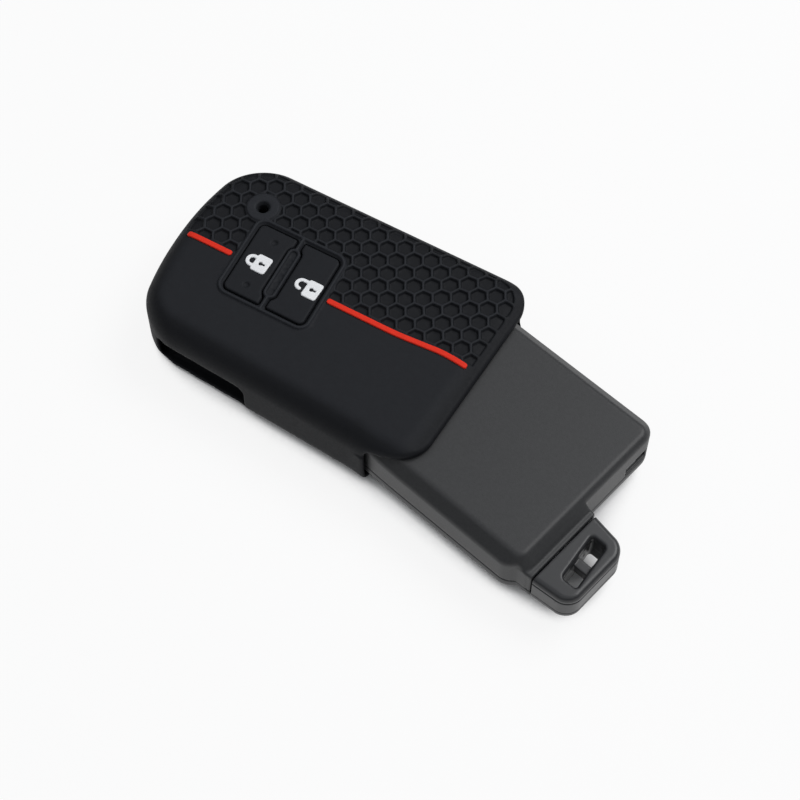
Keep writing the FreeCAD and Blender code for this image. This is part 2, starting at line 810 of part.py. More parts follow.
def make_key_head():
    """A tapered head with a strap slot: two windows round a sunken rib."""
    tip = f"({KEY_FACE} + key_length)"
    head = Piece("key_head").outline(
        (
            (KEY_FACE, KEY_SIDE),
            (tip, f"{KEY_SIDE} + key_taper / 2"),
            (tip, f"{KEY_INNER} - key_taper"),
            (KEY_FACE, KEY_INNER),
        ),
        ("key_bottom", "key_top"),
    )
    tip_place = value(tip)
    head.edged("key_corner_radius", upright_where(lambda point: abs(point.x - tip_place) < 1e-4))
    face_place = value(KEY_FACE)

    def rim(edge):
        return level("key_top")(edge) and abs(middle(edge).x - face_place) > 1e-4

    head.edged("key_edge", rim, "PartDesign::Chamfer")
    slot_start = f"({KEY_FACE} + slot_inset)"
    slot_end = f"({slot_start} + slot_width)"
    low, high = "(-key_offset - slot_length / 2)", "(-key_offset + slot_length / 2)"
    along = (slot_start, slot_end)
    through = ("key_bottom", "key_top")
    head.block(along, (low, "-key_offset - rib_width / 2"), through, cut=True)
    head.block(along, ("-key_offset + rib_width / 2", high), through, cut=True)
    head.block(along, (low, high), ("key_top - rib_drop", "key_top"), cut=True)
    head.block(along, (low, high), ("key_bottom", "key_top - slot_plate"), cut=True)
    head.block(
        (KEY_FACE, f"{KEY_FACE} + bow_depth + fit_gap"),
        ("-key_offset - blade_width / 2 - fit_gap", "-key_offset + blade_width / 2 + fit_gap"),
        (f"{BLADE_LOW} - fit_gap", f"{BLADE_HIGH} + fit_gap"),
        cut=True,
    )
    head.drum(PIN_X, "-key_offset", ("key_bottom", BLADE_HIGH), "pin_radius + pin_gap", cut=True)
    return head.body


def make_key_blade():
    start = "(cell_from_head + cell_radius + blade_cell_gap)"
    half = "(blade_width / 2)"
    blade = Piece("key_blade").outline(
        (
            (start, f"-key_offset - {half} + blade_tip"),
            (f"{start} + blade_tip", f"-key_offset - {half}"),
            (f"{KEY_FACE} + bow_depth", f"-key_offset - {half}"),
            (f"{KEY_FACE} + bow_depth", f"-key_offset + {half}"),
            (f"{start} + blade_tip", f"-key_offset + {half}"),
            (start, f"-key_offset + {half} - blade_tip"),
        ),
        (BLADE_LOW, BLADE_HIGH),
    )
    blade.drum(PIN_X, "-key_offset", (BLADE_LOW, BLADE_HIGH), "pin_radius + pin_gap", cut=True)
    return blade.body


def make_key_pin():
    pin = Piece("key_pin")
    pin.drum(PIN_X, "-key_offset", ("key_bottom", f"{BLADE_HIGH} - press_gap"), "pin_radius")
    return pin.body


def make_latch():
    """A bar across the fob's end; its knob shows, sunk, in the end wall, and its tip meets the blade."""
    latch = Piece("key_latch")
    height = (LATCH_LOW, f"{LATCH_LOW} + latch_thickness")
    latch.block((LATCH_X, f"{LATCH_X} + latch_width"), (LATCH_TIP, LATCH_END), height)
    latch.block(
        (LATCH_X, "fob_length - knob_recess"),
        ("knob_offset - knob_width / 2", LATCH_END),
        height,
    )
    return latch.body


def make_latch_spring():
    """A small coil between the latch's end and the far wall."""
    wire, radius = value("wire_radius"), value("spring_radius")
    start = value(f"{LATCH_END} + wire_radius + press_gap")
    length = value(f"{INSIDE} - spring_seat") - start
    helix = Part.makeHelix(length / value("spring_turns"), length, radius)
    circle = Part.Wire(Part.makeCircle(wire, FreeCAD.Vector(radius, 0, 0), FreeCAD.Vector(0, 1, 0)))
    coil = Part.Wire(helix.Edges).makePipeShell([circle], True, True)
    coil.rotate(FreeCAD.Vector(0, 0, 0), FreeCAD.Vector(1, 0, 0), -90)
    coil_x = value(f"{LATCH_X} + spring_radius - wire_radius")
    coil.translate(FreeCAD.Vector(coil_x, start, value(BLADE_MIDDLE)))
    spring = doc.addObject("Part::Feature", "latch_spring")
    spring.Label = "latch_spring"
    spring.Shape = coil
    return spring


finished(make_cover_shell())
finished(make_pad("lock_pad", -1))
finished(make_pad("unlock_pad", 1))
finished(make_icon("lock_icon", -1, False))
finished(make_icon("unlock_icon", 1, True))
finished(make_stripe_head())
finished(make_stripe_mouth())

fob_pieces = [
    make_front_case(),
    make_rear_case(),
    make_case_seal(),
    make_button("fob_lock_button", -1),
    make_button("fob_unlock_button", 1),
    make_membrane(),
    make_board(),
    make_switches(),
    make_chip("controller_chip", CHIP_X, "chip_offset", "chip_side", "chip_height"),
    make_chip("antenna_coil", ANTENNA_X, "antenna_offset", "antenna_side", "antenna_height"),
    make_chip("indicator_led", FOB_LED, "led_offset", "led_length", "led_height"),
    make_light_pipe(),
    make_cell(),
    make_clip("cell_clip_plus", 1, f"{CELL_TOP} + press_gap"),
    make_clip("cell_clip_minus", -1, "case_floor"),
    make_key_head(),
    make_key_blade(),
    make_key_pin(),
    make_latch(),
    make_latch_spring(),
]
for piece in fob_pieces:
    finished(place_fob(piece))

doc.recompute()
for item in doc.Objects:
    if "Invalid" in item.State or "Error" in item.State:
        raise RuntimeError(f"{item.Label} did not build: {item.State}")
os.makedirs("parts", exist_ok=True)
for piece in pieces:
    if piece.Shape.isNull() or not piece.Shape.isValid():
        raise RuntimeError(f"{piece.Label} has no valid shape")
for piece in pieces:
    piece.Shape.exportStep(f"parts/{piece.Label}.step")
    solids = len(piece.Shape.Solids)
    print(f"{piece.Label}: {solids} solid(s), {piece.Shape.Volume:.1f} mm3")
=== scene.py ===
import math

import bpy
import numpy as np
from mathutils import Matrix, Vector


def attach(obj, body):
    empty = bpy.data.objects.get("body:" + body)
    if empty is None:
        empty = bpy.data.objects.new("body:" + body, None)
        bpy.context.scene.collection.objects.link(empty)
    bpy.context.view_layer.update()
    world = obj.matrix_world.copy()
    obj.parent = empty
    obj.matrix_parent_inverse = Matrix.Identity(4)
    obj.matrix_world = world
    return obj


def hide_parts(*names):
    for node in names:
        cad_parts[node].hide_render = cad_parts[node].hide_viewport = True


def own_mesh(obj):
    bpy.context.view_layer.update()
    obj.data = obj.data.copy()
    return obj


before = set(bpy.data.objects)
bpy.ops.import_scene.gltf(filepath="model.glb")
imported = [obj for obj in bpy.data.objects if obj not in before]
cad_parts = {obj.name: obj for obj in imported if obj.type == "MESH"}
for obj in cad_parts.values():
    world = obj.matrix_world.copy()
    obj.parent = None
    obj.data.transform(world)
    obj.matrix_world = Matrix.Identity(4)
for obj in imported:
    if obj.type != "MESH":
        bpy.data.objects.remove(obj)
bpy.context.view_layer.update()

MM = 0.001

# Sizes in millimetres: the solids' own, and those of the finer forms that only the scene has.

# The cover's ends, walls, plan and corners. Pairs of radii are for the near and the far side.
HEAD, RIM, SIDE_RIM, LIP_RIM = -37.8, 37.8, 24.4, 34.8
OUTER_HALF, NEAR_HALF, WALL, THIN_WALL = 24.6, 23.3, 1.7, 1.3
HEAD_GAP, HEAD_BOW, HEAD_SLANT = 0.1, 0.0075, 0.013
NEAR_TAPER, NEAR_FLARE = 0.0575, 0.5
OUTER_RADII, INNER_RADII, TONGUE_RADII = (8.5, 9.8), (7.2, 8.1), (6.0, 9.0)
FRONT, CAVITY_LOW, CAVITY_TOP = 18.0, 2.2, 15.8
FRONT_RADIUS, FRONT_SHARPER, BACK_RADIUS = 5.5, 0.6, 5.4
CAVITY_RADIUS, CAVITY_FLOOR_RADIUS = 1.6, 1.8
TONGUE_LOW, TONGUE_SHORT, TONGUE_SLANT = 14.5, 1.0, 0.035
TONGUE_NEAR, TONGUE_NEAR_X, TONGUE_TAPER = 26.7, 26.3, 0.15
LIP_STEP, LIP_RADIUS, OPEN_SIDE_Y = 2.3, 7.0, -18.0
WINDOW_X, WINDOW_Y, WINDOW_Z = -17.6, -20.8, 6.5
WINDOW_HALF_X, WINDOW_HALF_Z, WINDOW_RADIUS = 11.6, 4.3, 2.2
HOLES_LOW = 12.0  # holes through the front reach down to here, inside the cavity

# What the cover's front carries.
PADS_X, FRAME_HALF_X, FRAME_HALF_Y = -11.3, 11.35, 10.5
FRAME_RADIUS, FRAME_SLANT = 2.8, 0.065
RIDGE_HALF, RIDGE_HIGH, MOAT_DEPTH = 0.45, 0.52, 0.22
LOOP_RADIUS, LOOP_REACH, LOOP_DEPTH, LOOP_ROOM = 1.12, 5.35, 1.5, 0.6
LED_X, LED_Y, LED_HOLE, BOSS_RADIUS, BOSS_HIGH = -23.95, 12.7, 1.1, 3.65, 0.34
COMB_PITCH, COMB_RIDGE, COMB_DEPTH, COMB_CREST = 3.75, 0.55, 0.55, 0.14
COMB_X, COMB_Y, COMB_BEND, COMB_MARGIN, COMB_END = 7.95, 0.15, 0.85, 2.0, 2.1
STRIPE_HALF, STRIPE_PROUD, STRIPE_Y = 0.65, 0.4, -1.0
STRIPE_BEND, STRIPE_RETURN = 0.9, 0.6
PAD_LOW, PAD_TOP, PAD_HALF_X, PAD_HALF_Y = 16.4, 18.3, 5.95, 9.1
PAD_X, PAD_INNER, PAD_RADIUS, PAD_GAP = 4.0, 0.85, 1.4, 0.2
NUB_LOW, NUB_X, NUB_HALF_X, NUB_HALF_Y = 15.9, 5.775, 3.0, 5.0
DIMPLE_RADIUS, DIMPLE_DEPTH = 0.95, 0.4
LOCK_HALF_X, LOCK_HALF_Y, BOW_RADIUS, BOW_HALF, ICON_HIGH = 1.75, 2.2, 1.12, 0.43, 0.3

# The fob's pose in the cover, and its sizes from its head, centre line and underside.
SKEW, PIVOT_X, PIVOT_REACH, FOB_FLOOR = math.radians(13.0), 13.1, 13.0, 2.5
FOB_LONG, FOB_HALF, FOB_HIGH, FOB_WALL = 70.5, 21.8, 13.0, 1.6
FOB_BOW, FOB_WIDEN, FOB_HEAD_RADIUS, FOB_TAIL_RADIUS = 0.004, 0.9, 11.0, 4.4
ROOM_LOW, ROOM_TOP, BEVEL_LOW, BELLY_RADIUS = 1.5, 11.5, 10.45, 2.6
FRONT_SEAM, REAR_SEAM = 4.04, 3.96
LEDGE_HALF, LEDGE_END, RISER_END = 9.8, 73.1, 71.9
BUTTONS_X, BUTTON_HALF_X, BUTTON_HALF_Y = (18.525, 30.075), 3.65, 5.65
PIPE_X, PIPE_Y, PIPE_RADIUS = 11.65, 12.7, 1.23

# The emergency key's head, in the fob's own place.
KEY_Y, KEY_ROOT, KEY_END, KEY_LOW, KEY_TOP = -11.2, 73.4, 82.7, 2.2, 10.0
KEY_NEAR, KEY_FAR, KEY_RADIUS = -21.0, -1.4, 3.4
KEY_NEAR_SLANT, KEY_FAR_SLANT, KEY_FAR_LENGTH = 0.0806, 0.1613, 1.013
KEY_LINE, KEY_SEAM = 8.15, 3.9
SLOT_X, SLOT_SHIFT, SLOT_SLANT = 78.35, 0.25, 0.138
SLOT_HALF_X, SLOT_HALF_Y, SLOT_RADIUS = 1.7, 5.35, 0.7
RIB_HALF, RIB_LOW, RIB_TOP = 1.05, 5.6, 8.2
PIN_X, PIN_RADIUS, PIN_TOP = 74.7, 0.73, 7.2


# Fields: each is negative inside a shape, in millimetres.


def smooth_max(a, b, reach):
    """The larger of two fields, with a round edge where they meet."""
    share = np.maximum(reach - np.abs(a - b), 0) / reach
    return np.maximum(a, b) + share * share * reach / 4


def smooth_min(a, b, reach):
    return -smooth_max(-a, -b, reach)


def corner(a, b, radius):
    """Inside both faces, with a true round of that radius along their edge."""
    u, v = np.maximum(a + radius, 0), np.maximum(b + radius, 0)
    return np.minimum(np.maximum(a, b) + radius, 0) + np.sqrt(u * u + v * v) - radius


def rounded_rectangle(x, y, half_x, half_y, radius):
    return corner(np.abs(x) - half_x, np.abs(y) - half_y, radius)


def ramp(value, low, high):
    """A soft step from 0 to 1."""
    share = np.clip((value - low) / (high - low), 0, 1)
    return share * share * (3 - 2 * share)


def skin(field, xs, ys, zs):
    """Points and quads of the surface where a field is zero, found on a grid and drawn onto the surface."""
    axes = (xs, ys, zs)
    values = field(xs[:, None, None], ys[None, :, None], zs[None, None, :])
    inside = values < 0
    cells = tuple(len(axis) - 1 for axis in axes)
    count = cells[0] * cells[1] * cells[2]
    hits, total, quads = np.zeros(count), np.zeros((3, count)), []
    for axis in range(3):
        low = tuple(slice(None, -1) if k == axis else slice(None) for k in range(3))
        high = tuple(slice(1, None) if k == axis else slice(None) for k in range(3))
        u, v = [k for k in range(3) if k != axis]
        at = np.argwhere(inside[low] != inside[high])
        at = at[(at[:, u] > 0) & (at[:, u] < cells[u]) & (at[:, v] > 0) & (at[:, v] < cells[v])]
        beyond = at.copy()
        beyond[:, axis] += 1
        first, second = values[tuple(at.T)], values[tuple(beyond.T)]
        points = np.stack([axes[k][at[:, k]] for k in range(3)]).astype(float)
        points[axis] += first / (first - second) * (axes[axis][beyond[:, axis]] - points[axis])
        ring = []
        for step_u, step_v in ((0, 0), (-1, 0), (-1, -1), (0, -1)):
            cell = at.copy()
            cell[:, u] += step_u
            cell[:, v] += step_v
            ring.append(np.ravel_multi_index(tuple(cell.T), cells))
        for corner_cells in ring:
            hits += np.bincount(corner_cells, minlength=count)
            for k in range(3):
                total[k] += np.bincount(corner_cells, weights=points[k], minlength=count)
        faces = np.stack(ring, axis=1)
        outward = inside[tuple(at.T)] != (axis == 1)
        faces[~outward] = faces[~outward][:, ::-1]
        quads.append(faces)
    used = np.flatnonzero(hits)
    place = np.zeros(count, dtype=np.int64)
    place[used] = np.arange(len(used))
    points = total[:, used] / hits[used]
    reach = 0.4 * min(float(np.min(np.diff(axis))) for axis in axes)
    for _ in range(3):
        points = draw_onto(field, points, reach)
    return points.T, place[np.concatenate(quads)]


def draw_onto(field, points, reach):
    """One step of each point towards the field's zero surface, no longer than reach."""
    x, y, z = points
    nudge = 0.02
    slope = np.stack([
        field(x + nudge, y, z) - field(x - nudge, y, z),
        field(x, y + nudge, z) - field(x, y - nudge, z),
        field(x, y, z + nudge) - field(x, y, z - nudge),
    ]) / (2 * nudge)
    steep = np.maximum(np.sum(slope * slope, axis=0), 0.05)
    return points - np.clip(field(x, y, z) / steep * slope, -reach, reach)


def steps(*stretches):
    """Grid places along one axis: (low, high, step) for each stretch in turn."""
    places = [np.arange(low, high - step / 2, step) for low, high, step in stretches]
    return np.concatenate(places + [np.array([stretches[-1][1]])])


FOB_PLACE = (
    Matrix.Translation((PIVOT_X * MM, 0, FOB_FLOOR * MM))
    @ Matrix.Rotation(-SKEW, 4, "Z")
    @ Matrix.Translation((-PIVOT_REACH * MM, 0, 0))
)


def piece(name, points, faces, body, material, replaced, keep=1.0, place=None):
    """A smooth mesh piece that stands for a solid and moves with its body."""
    mesh = bpy.data.meshes.new(name)
    mesh.from_pydata((np.asarray(points) * MM).tolist(), [], np.asarray(faces).tolist())
    mesh.polygons.foreach_set("use_smooth", np.ones(len(mesh.polygons), dtype=bool))
    if place is not None:
        mesh.transform(place)
    mesh.update()
    obj = bpy.data.objects.new(name, mesh)
    bpy.context.scene.collection.objects.link(obj)
    obj.data.materials.append(material)
    if keep < 1:
        thin = obj.modifiers.new("thin", "DECIMATE")
        thin.ratio = keep
    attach(obj, body)
    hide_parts(replaced)
    return obj


# Materials.


def node_material(name, color, roughness, specular=0.5, metallic=0.0):
    material = bpy.data.materials.new(name)
    material.use_nodes = True
    shader = material.node_tree.nodes["Principled BSDF"]
    shader.inputs["Base Color"].default_value = (*color, 1)
    shader.inputs["Roughness"].default_value = roughness
    shader.inputs["Specular IOR Level"].default_value = specular
    shader.inputs["Metallic"].default_value = metallic
    return material


def mottle(material, color, spread, scale, stretch):
    """Uneven colour: a noise between a darker and a lighter tone."""
    tree = material.node_tree
    nodes, links = tree.nodes, tree.links
    shader = nodes["Principled BSDF"]
    place = nodes.new("ShaderNodeTexCoord")
    mapping = nodes.new("ShaderNodeMapping")
    mapping.inputs["Scale"].default_value = stretch
    links.new(place.outputs["Object"], mapping.inputs["Vector"])
    noise = nodes.new("ShaderNodeTexNoise")
    noise.inputs["Scale"].default_value = scale
    noise.inputs["Detail"].default_value = 4.0
    links.new(mapping.outputs["Vector"], noise.inputs["Vector"])
    blend = nodes.new("ShaderNodeValToRGB")
    blend.color_ramp.elements[0].position = 0.3
    blend.color_ramp.elements[0].color = (*[c * (1 - spread) for c in color], 1)
    blend.color_ramp.elements[1].position = 0.7
    blend.color_ramp.elements[1].color = (*[min(c * (1 + spread), 1) for c in color], 1)
    links.new(noise.outputs["Fac"], blend.inputs["Fac"])
    links.new(blend.outputs["Color"], shader.inputs["Base Color"])
    return mapping


def roughen(material, mapping, low, high, scale):
    """Roughness that varies over the surface."""
    tree = material.node_tree
    nodes, links = tree.nodes, tree.links
    noise = nodes.new("ShaderNodeTexNoise")
    noise.inputs["Scale"].default_value = scale
    noise.inputs["Detail"].default_value = 3.0
    links.new(mapping.outputs["Vector"], noise.inputs["Vector"])
    span = nodes.new("ShaderNodeMapRange")
    span.inputs["From Min"].default_value = 0.3
    span.inputs["From Max"].default_value = 0.7
    span.inputs["To Min"].default_value = low
    span.inputs["To Max"].default_value = high
    links.new(noise.outputs["Fac"], span.inputs["Value"])
    links.new(span.outputs["Result"], nodes["Principled BSDF"].inputs["Roughness"])


def grain(material, mapping, scale, depth, strength):
    """Fine relief in the surface, depth in metres."""
    tree = material.node_tree
    nodes, links = tree.nodes, tree.links
    texture = nodes.new("ShaderNodeTexNoise")
    texture.inputs["Scale"].default_value = scale
    links.new(mapping.outputs["Vector"], texture.inputs["Vector"])
    bump = nodes.new("ShaderNodeBump")
    bump.inputs["Strength"].default_value = strength
    bump.inputs["Distance"].default_value = depth
    links.new(texture.outputs["Fac"], bump.inputs["Height"])
    links.new(bump.outputs["Normal"], nodes["Principled BSDF"].inputs["Normal"])


def finish_material(name, color, roughness, scale, spread=0.08, grain_scale=5000.0,
                    grain_depth=0.00003, grain_strength=0.15, specular=0.5, metallic=0.0,
                    stretch=(1, 1, 1)):
    """A material with uneven colour and roughness, and a fine grain."""
    material = node_material(name, color, roughness, specular, metallic)
    mapping = mottle(material, color, spread, scale, stretch)
    roughen(material, mapping, roughness - 0.05, roughness + 0.05, scale * 3)
    grain(material, mapping, grain_scale, grain_depth, grain_strength)
    return material


def paint_shade_by_height(material, shade_marks):
    """Scale the base colour by height, as painted shade and highlight: low places such as the honeycomb's
    pits and walls are darkened, and what stands proud is painted paler as if lit.

    The shade marks are pairs of a height in metres and a share of the colour.
    """
    nodes, links = material.node_tree.nodes, material.node_tree.links
    color = nodes["Principled BSDF"].inputs["Base Color"]
    plain = color.links[0].from_socket
    place = nodes.new("ShaderNodeTexCoord")
    split = nodes.new("ShaderNodeSeparateXYZ")
    links.new(place.outputs["Object"], split.inputs["Vector"])
    low, high = shade_marks[0][0], shade_marks[-1][0]
    span = nodes.new("ShaderNodeMapRange")
    span.inputs["From Min"].default_value = low
    span.inputs["From Max"].default_value = high
    links.new(split.outputs["Z"], span.inputs["Value"])
    ramp_node = nodes.new("ShaderNodeValToRGB")
    marks = ramp_node.color_ramp.elements
    for height, _ in shade_marks[1:-1]:
        marks.new((height - low) / (high - low))
    for mark, (_, share) in zip(marks, shade_marks):
        mark.color = (share, share, share, 1)
    links.new(span.outputs["Result"], ramp_node.inputs["Fac"])
    scale = nodes.new("ShaderNodeVectorMath")
    scale.operation = "MULTIPLY"
    links.new(plain, scale.inputs[0])
    links.new(ramp_node.outputs["Color"], scale.inputs[1])
    links.new(scale.outputs["Vector"], color)


SILICONE = finish_material(
    "silicone", (0.0220, 0.0236, 0.0278), 0.6, 700.0, spread=0.04, specular=0.12,
    grain_scale=9000.0, grain_depth=0.00002, grain_strength=0.10)
# Painted shade and highlight: the cover's silicone is darkened in the pits and low walls and made paler on
# the ridges' tops.
SILICONE_PAINTED_SHADE = ((0.01740, 0.47), (0.01792, 0.72), (0.01803, 0.72), (0.01812, 0.95), (0.01845, 1.0))
paint_shade_by_height(SILICONE, SILICONE_PAINTED_SHADE)
PAD_SILICONE = finish_material(
    "pad_silicone", (0.0152, 0.0163, 0.0192), 0.58, 700.0, spread=0.04, specular=0.11,
    grain_scale=9000.0, grain_depth=0.00002, grain_strength=0.08)
ICON_WHITE = finish_material(
    "icon_white", (0.86, 0.87, 0.885), 0.42, 300.0, spread=0.02,
    grain_scale=7000.0, grain_depth=0.00001, grain_strength=0.05)
STRIPE_RED = finish_material(
    "stripe_red", (0.76, 0.036, 0.018), 0.5, 700.0, spread=0.05, specular=0.08,
    grain_scale=7000.0, grain_depth=0.00002, grain_strength=0.10)
CASE_GREY = finish_material(
    "case_grey", (0.027, 0.0277, 0.0291), 0.46, 1900.0, spread=0.10, specular=0.42,
    grain_scale=5200.0, grain_depth=0.00005, grain_strength=0.35)
KEY_PLASTIC = finish_material(
    "key_plastic", (0.024, 0.0246, 0.0266), 0.36, 2600.0, spread=0.05,
    grain_scale=5600.0, grain_strength=0.18)
FOB_KEY = finish_material("fob_key", (0.03, 0.03, 0.032), 0.5, 140.0)
DARK_RUBBER = finish_material("dark_rubber", (0.012, 0.012, 0.0125), 0.7, 200.0, specular=0.3)
GREY_RUBBER = finish_material("grey_rubber", (0.2, 0.2, 0.21), 0.65, 200.0, specular=0.3)
BOARD_GREEN = finish_material("board_green", (0.012, 0.11, 0.04), 0.3, 400.0, spread=0.2)
CHIP_BLACK = finish_material("chip_black", (0.012, 0.012, 0.013), 0.45, 400.0)
FERRITE = finish_material("ferrite", (0.035, 0.03, 0.027), 0.6, 500.0, spread=0.15)
LED_RED = finish_material("led_red", (0.7, 0.07, 0.05), 0.2, 500.0)
CLEAR = finish_material("clear_pipe", (0.75, 0.77, 0.78), 0.15, 300.0, spread=0.02)
STEEL = finish_material(
    "steel", (0.52, 0.52, 0.51), 0.3, 300.0, spread=0.06, grain_scale=900.0,
    metallic=1.0, stretch=(1, 12, 1))
BLADE_STEEL = finish_material(
    "blade_steel", (0.55, 0.55, 0.55), 0.26, 260.0, grain_scale=1200.0, grain_strength=0.2,
    metallic=1.0, stretch=(1, 14, 14))
CONTACT = finish_material("contact_metal", (0.62, 0.55, 0.4), 0.3, 300.0, metallic=1.0)


# The cover.


def comb_edge(x, y):
    """How far a place is inside its honeycomb cell, from the cell's nearest side."""
    step = COMB_PITCH * math.sqrt(3) / 2
    best = None
    for shift in (0, 1):
        column = np.floor((x - COMB_X) / step) + shift
        centre_x = COMB_X + column * step
        start = COMB_Y + 0.5 * COMB_PITCH * np.mod(column, 2)
        centre_y = start + np.round((y - start) / COMB_PITCH) * COMB_PITCH
        across, along = np.abs(y - centre_y), np.abs(x - centre_x)
        reach = np.maximum(across, along * math.sqrt(3) / 2 + across / 2)
        best = reach if best is None else np.minimum(best, reach)
    return COMB_PITCH / 2 - best


def sleeve_plan(x, y, inset, far_inset, radii):
    """The sleeve's plan, open past the mouth: a bowed head, and a near side that widens to a flared lip."""
    head = HEAD + HEAD_GAP + HEAD_BOW * y * y - HEAD_SLANT * y + inset - x
    near = -y - NEAR_HALF - NEAR_TAPER * (x - HEAD) - NEAR_FLARE * ramp(x, 20.0, 25.5) + inset
    far = y - OUTER_HALF + far_inset
    return np.maximum(corner(head, near, radii[0]), corner(head, far, radii[1]))


def outer_plan(x, y):
    return sleeve_plan(x, y, 0, 0, OUTER_RADII)


def inner_plan(x, y):
    return sleeve_plan(x, y, THIN_WALL, WALL, INNER_RADII)


def tongue_end(x, y):
    """How far a place is past the front tongue's end, which is a little aslant."""
    return x - RIM + TONGUE_SHORT - TONGUE_SLANT * y


def tongue_trim(x, y):
    """The front tongue's plan, with round corners and a near side that draws in."""
    end, near = tongue_end(x, y), -y - TONGUE_NEAR + TONGUE_TAPER * (x - TONGUE_NEAR_X)
    near_corner = corner(end, near, TONGUE_RADII[0])
    return np.maximum(near_corner, corner(end, y - OUTER_HALF, TONGUE_RADII[1]))


def mouth_trim(x, y, z):
    """The tongue's plan in front, and below it the mouth's lip, which is longer at the far side."""
    step = TONGUE_LOW - 3.0 * ramp(-y, 5.0, 15.0)
    share = ramp(z, step - 0.7, step + 0.5)
    lip = x - LIP_RIM - LIP_STEP * ramp(y, 8.0, 16.0)
    return share * tongue_trim(x, y) + (1 - share) * corner(lip, y - OUTER_HALF, LIP_RADIUS)


def loop_line(from_x, y):
    """Distance from the middle line of the loop between the pads."""
    return np.hypot(from_x, np.maximum(np.abs(y) - LOOP_REACH, 0))


def pad_plan(x, y, side):
    """A pad's plan: a round-cornered slab that gives way to the loop between the pads."""
    from_pads = (x - PADS_X + FRAME_SLANT * y) * side
    slab = rounded_rectangle(from_pads - PAD_X, y, PAD_HALF_X, PAD_HALF_Y, PAD_RADIUS)
    slab = corner(slab, PAD_INNER - from_pads, 0.5)
    loop = loop_line(from_pads, y) - LOOP_RADIUS - LOOP_ROOM
    return smooth_max(slab, -loop, 0.5)


def stripe_line(x):
    """The stripes' middle line, which bends a little towards the mouth."""
    return STRIPE_Y + STRIPE_BEND * ramp(x, 15.0, 31.0) - STRIPE_RETURN * ramp(x, 26.0, 36.0)


def front_relief(x, y):
    """What stands proud of the front or is sunk in it: frame, loop, moat, boss and honeycomb."""
    from_x = x - PADS_X + FRAME_SLANT * y
    frame_line = rounded_rectangle(from_x, y, FRAME_HALF_X - RIDGE_HALF, FRAME_HALF_Y - RIDGE_HALF,
                                   FRAME_RADIUS - RIDGE_HALF)
    loop = loop_line(from_x, y) - LOOP_RADIUS
    none = 9.0
    bar = np.where(np.abs(y) > LOOP_REACH + LOOP_RADIUS, np.abs(from_x), none)
    bar = np.where(frame_line < 0, bar, none)
    ridge = np.minimum(np.abs(frame_line), np.minimum(np.abs(loop), bar))
    high = RIDGE_HIGH * ramp(RIDGE_HALF + 0.12 - ridge, 0, 0.45)
    high = high - LOOP_DEPTH * ramp(-0.35 - loop, 0, 0.22)
    high = high - MOAT_DEPTH * ramp(frame_line, 0.5, 0.8) * ramp(1.5 - frame_line, 0, 0.6)
    boss = np.hypot(x - LED_X, y - LED_Y)
    high = np.maximum(high, BOSS_HIGH * ramp(BOSS_RADIUS + 0.05 - boss, 0, 0.32))
    outside = rounded_rectangle(from_x, y, FRAME_HALF_X, FRAME_HALF_Y, FRAME_RADIUS)
    field = np.minimum(outside - 0.1, boss - BOSS_RADIUS - 0.15)
    field = np.minimum(field, y - stripe_line(x) - STRIPE_HALF - 0.25)
    field = np.minimum(field, -outer_plan(x, y) - COMB_MARGIN)
    field = np.minimum(field, -tongue_trim(x, y) - COMB_END)
    cell = comb_edge(x, y - COMB_BEND * ramp(x, 14.0, 31.0)) - COMB_RIDGE / 2
    comb = COMB_CREST - (COMB_DEPTH + COMB_CREST) * ramp(cell, -0.14, 0.27)
    return high + comb * ramp(field, 0, 0.36)


def cover_outside(x, y, z, relief):
    """The sleeve's outside, whose front droops by a millimetre towards the tongue's end."""
    droop = ramp(tongue_end(x, y), -5.0, 1.5)
    radius = FRONT_RADIUS - FRONT_SHARPER * ramp(y, -5.0, 10.0)
    top = corner(outer_plan(x, y), z - FRONT - relief + droop, radius)
    return corner(top, -z, BACK_RADIUS)


def cover_field(x, y, z):
    outer = cover_outside(x, y, z, front_relief(x, y))
    cavity = corner(inner_plan(x, y), z - CAVITY_TOP, CAVITY_RADIUS)
    cavity = corner(cavity, CAVITY_LOW - z, CAVITY_FLOOR_RADIUS)
    shell = smooth_max(corner(outer, mouth_trim(x, y, z), 0.8), -cavity, 0.4)
    kept = smooth_min(TONGUE_LOW - z, -y + OPEN_SIDE_Y, 2.0)
    shell = smooth_max(shell, smooth_min(x - SIDE_RIM, kept, 2.6), 0.7)
    window = rounded_rectangle(x - WINDOW_X, z - WINDOW_Z, WINDOW_HALF_X, WINDOW_HALF_Z, WINDOW_RADIUS)
    shell = smooth_max(shell, -np.maximum(window, y - WINDOW_Y), 0.6)
    for side in (-1, 1):
        opening = np.maximum(pad_plan(x, y, side) - PAD_GAP, HOLES_LOW - z)
        shell = smooth_max(shell, -opening, 0.3)
    boss = np.hypot(x - LED_X, y - LED_Y)
    hole = boss - LED_HOLE - np.maximum(z - FRONT + 0.55, 0) * 0.66
    return smooth_max(shell, -np.maximum(hole, HOLES_LOW - z), 0.3)


def make_cover():
    xs = steps((HEAD - 0.9, RIM + 0.9, 0.27))
    ys = steps((-29.3, -11.0, 0.38), (-11.0, 25.6, 0.27))
    zs = steps((-0.7, 14.2, 0.5), (14.2, 16.6, 0.3), (16.6, 19.0, 0.15))
    points, faces = skin(cover_field, xs, ys, zs)
    return piece("cover_skin", points, faces, "cover", SILICONE, "cover_shell", keep=0.45)


